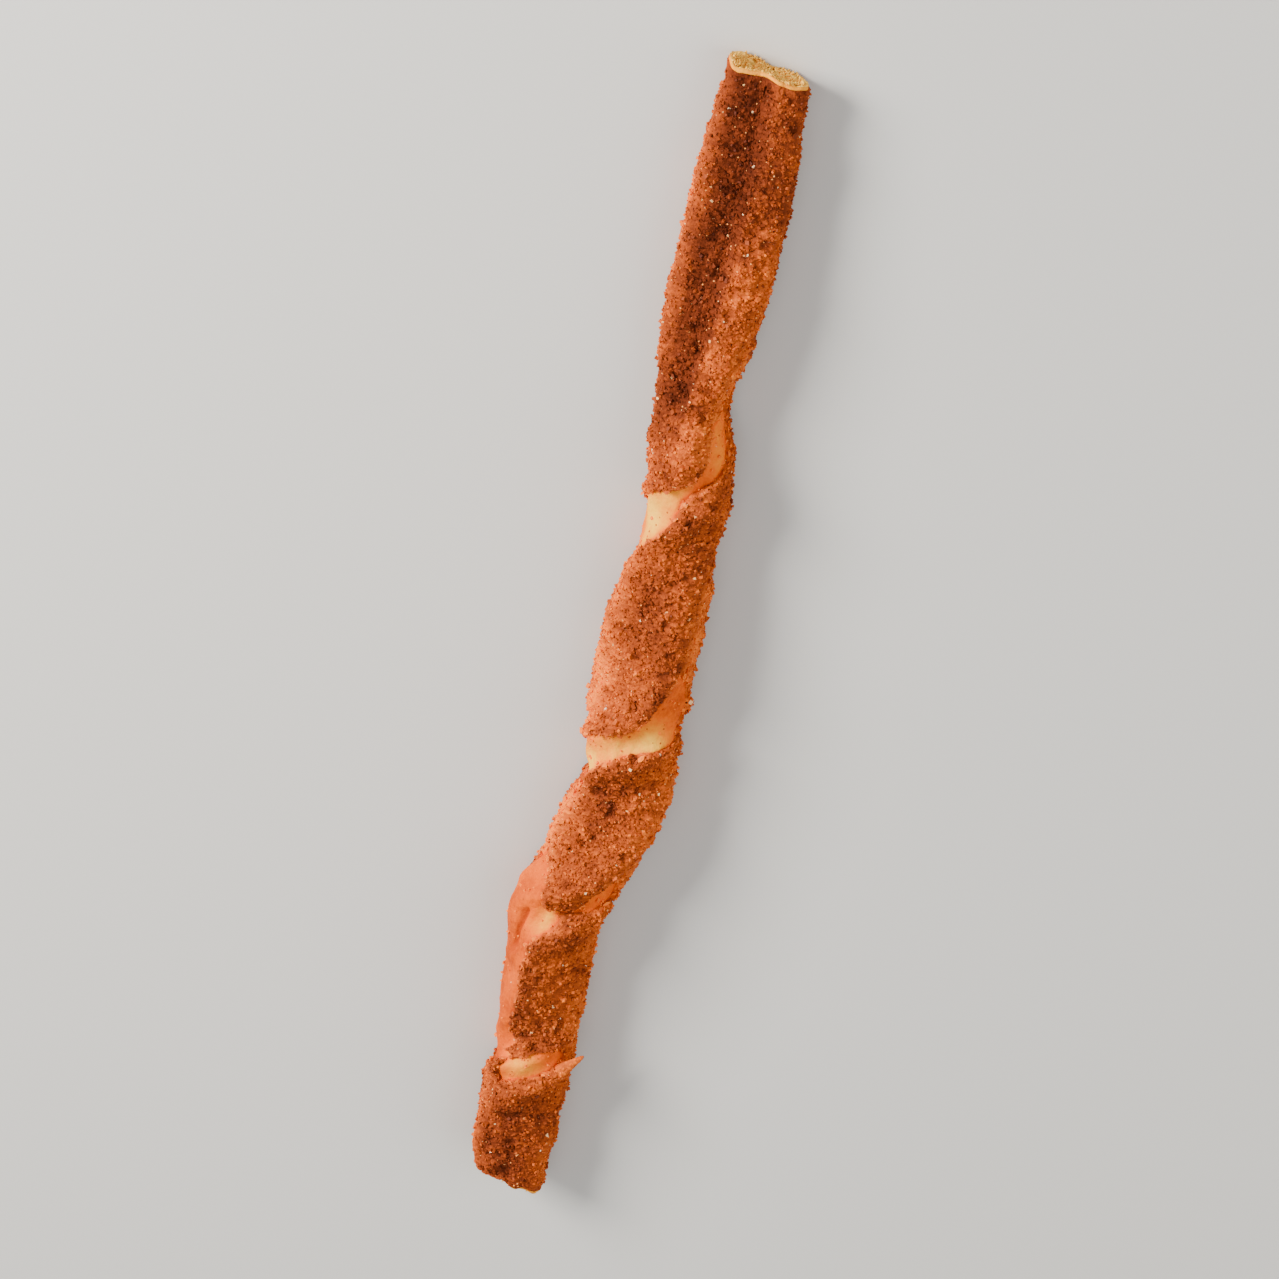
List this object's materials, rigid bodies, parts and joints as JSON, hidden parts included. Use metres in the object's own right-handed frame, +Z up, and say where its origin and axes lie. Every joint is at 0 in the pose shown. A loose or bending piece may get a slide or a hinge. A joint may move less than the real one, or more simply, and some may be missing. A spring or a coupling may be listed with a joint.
{
  "type": "grissini breadstick",
  "caption": "Long crisp breadstick of flat dough, twisted along its length, with a grainy cinnamon and sugar crust on its wide faces and bare baked dough on its narrow ones.",
  "frame": {"origin": "on the surface that the stick lies on, below the middle of its box", "axes": "+X along the stick to the end of its longest untwisted stretch, +Z up"},
  "size_m": [0.2047, 0.0214, 0.0131],
  "materials": {
    "cinnamon_crust": "matt, grainy",
    "bare_dough": "satin, smooth",
    "sugar": "glossy grains"
  },
  "bodies": {
    "root": {"breadstick": "cinnamon_crust"}
  },
  "joints": []
}
